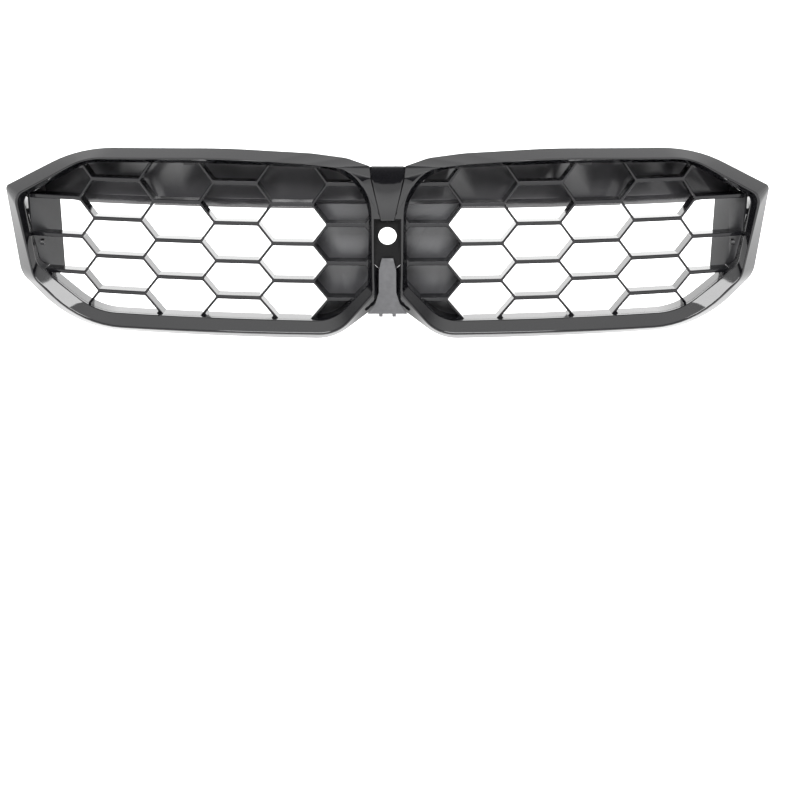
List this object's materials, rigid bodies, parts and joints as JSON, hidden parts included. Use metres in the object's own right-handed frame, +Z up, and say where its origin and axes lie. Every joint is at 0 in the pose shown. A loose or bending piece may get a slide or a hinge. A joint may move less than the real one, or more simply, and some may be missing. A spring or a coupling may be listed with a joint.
{
  "type": "front grille",
  "caption": "Twin-opening front grille with honeycomb inserts, gloss surrounds, blanking panels and a centre bridge with a camera hole.",
  "frame": {"origin": "centre of the camera hole on the front face of the pocket floor", "axes": "+X to the right as seen from the front, +Y to the rear of the grille, +Z up"},
  "size_m": [0.7982, 0.1361, 0.1979],
  "materials": {
    "gloss_black": "gloss",
    "matte_black": "grained",
    "matte_trim": "grained",
    "foam": "open-cell foam",
    "screw_steel": "black zinc"
  },
  "bodies": {
    "grille": {"camera_bracket": "matte_black", "centre_bridge": "gloss_black", "centre_screws": "screw_steel", "foam_seal_left": "foam", "foam_seal_right": "foam", "honeycomb_insert_left": "gloss_black", "honeycomb_insert_right": "gloss_black", "inner_blank_left": "matte_black", "inner_blank_right": "matte_black", "insert_screws_left": "screw_steel", "insert_screws_right": "screw_steel", "lower_tongue": "matte_trim", "outer_duct_left": "matte_black", "outer_duct_right": "matte_black", "panel_screws_left": "screw_steel", "panel_screws_right": "screw_steel", "rail_screws_left": "screw_steel", "rail_screws_right": "screw_steel", "surround_frame_left": "gloss_black", "surround_frame_right": "gloss_black", "top_rail_left": "matte_black", "top_rail_right": "matte_black", "upper_blank_left": "gloss_black", "upper_blank_right": "gloss_black"},
    "snap_tongue_1_left": {"snap_tongue_1_left": "gloss_black"},
    "snap_tongue_1_right": {"snap_tongue_1_right": "gloss_black"},
    "snap_tongue_2_left": {"snap_tongue_2_left": "gloss_black"},
    "snap_tongue_2_right": {"snap_tongue_2_right": "gloss_black"},
    "snap_tongue_3_left": {"snap_tongue_3_left": "gloss_black"},
    "snap_tongue_3_right": {"snap_tongue_3_right": "gloss_black"},
    "snap_tongue_4_left": {"snap_tongue_4_left": "gloss_black"},
    "snap_tongue_4_right": {"snap_tongue_4_right": "gloss_black"}
  },
  "joints": [
    {"name": "flex_1_left", "type": "hinge", "parent": "grille", "child": "snap_tongue_1_left", "pos_m": [-0.095, 0.03902, -0.1058], "axis": [0.9961, -0.0884, 0], "range_deg": [0, 12], "stiffness_Nm_per_rad": 0.5},
    {"name": "flex_1_right", "type": "hinge", "parent": "grille", "child": "snap_tongue_1_right", "pos_m": [0.095, 0.03902, -0.1058], "axis": [0.9961, 0.0884, 0], "range_deg": [0, 12], "stiffness_Nm_per_rad": 0.5},
    {"name": "flex_2_left", "type": "hinge", "parent": "grille", "child": "snap_tongue_2_left", "pos_m": [-0.2, 0.05358, -0.1058], "axis": [0.9825, -0.186, 0], "range_deg": [0, 12], "stiffness_Nm_per_rad": 0.5},
    {"name": "flex_2_right", "type": "hinge", "parent": "grille", "child": "snap_tongue_2_right", "pos_m": [0.2, 0.05358, -0.1058], "axis": [0.9825, 0.186, 0], "range_deg": [0, 12], "stiffness_Nm_per_rad": 0.5},
    {"name": "flex_3_left", "type": "hinge", "parent": "grille", "child": "snap_tongue_3_left", "pos_m": [-0.3095, 0.08033, -0.1058], "axis": [0.9577, -0.2879, 0], "range_deg": [0, 12], "stiffness_Nm_per_rad": 0.5},
    {"name": "flex_3_right", "type": "hinge", "parent": "grille", "child": "snap_tongue_3_right", "pos_m": [0.3095, 0.08033, -0.1058], "axis": [0.9577, 0.2879, 0], "range_deg": [0, 12], "stiffness_Nm_per_rad": 0.5},
    {"name": "flex_4_left", "type": "hinge", "parent": "grille", "child": "snap_tongue_4_left", "pos_m": [-0.38976, 0.09529, -0.006], "axis": [0.1053, 0.1379, -0.9848], "range_deg": [0, 12], "stiffness_Nm_per_rad": 0.5},
    {"name": "flex_4_right", "type": "hinge", "parent": "grille", "child": "snap_tongue_4_right", "pos_m": [0.38976, 0.09529, -0.006], "axis": [0.1053, -0.1379, 0.9848], "range_deg": [0, 12], "stiffness_Nm_per_rad": 0.5}
  ]
}
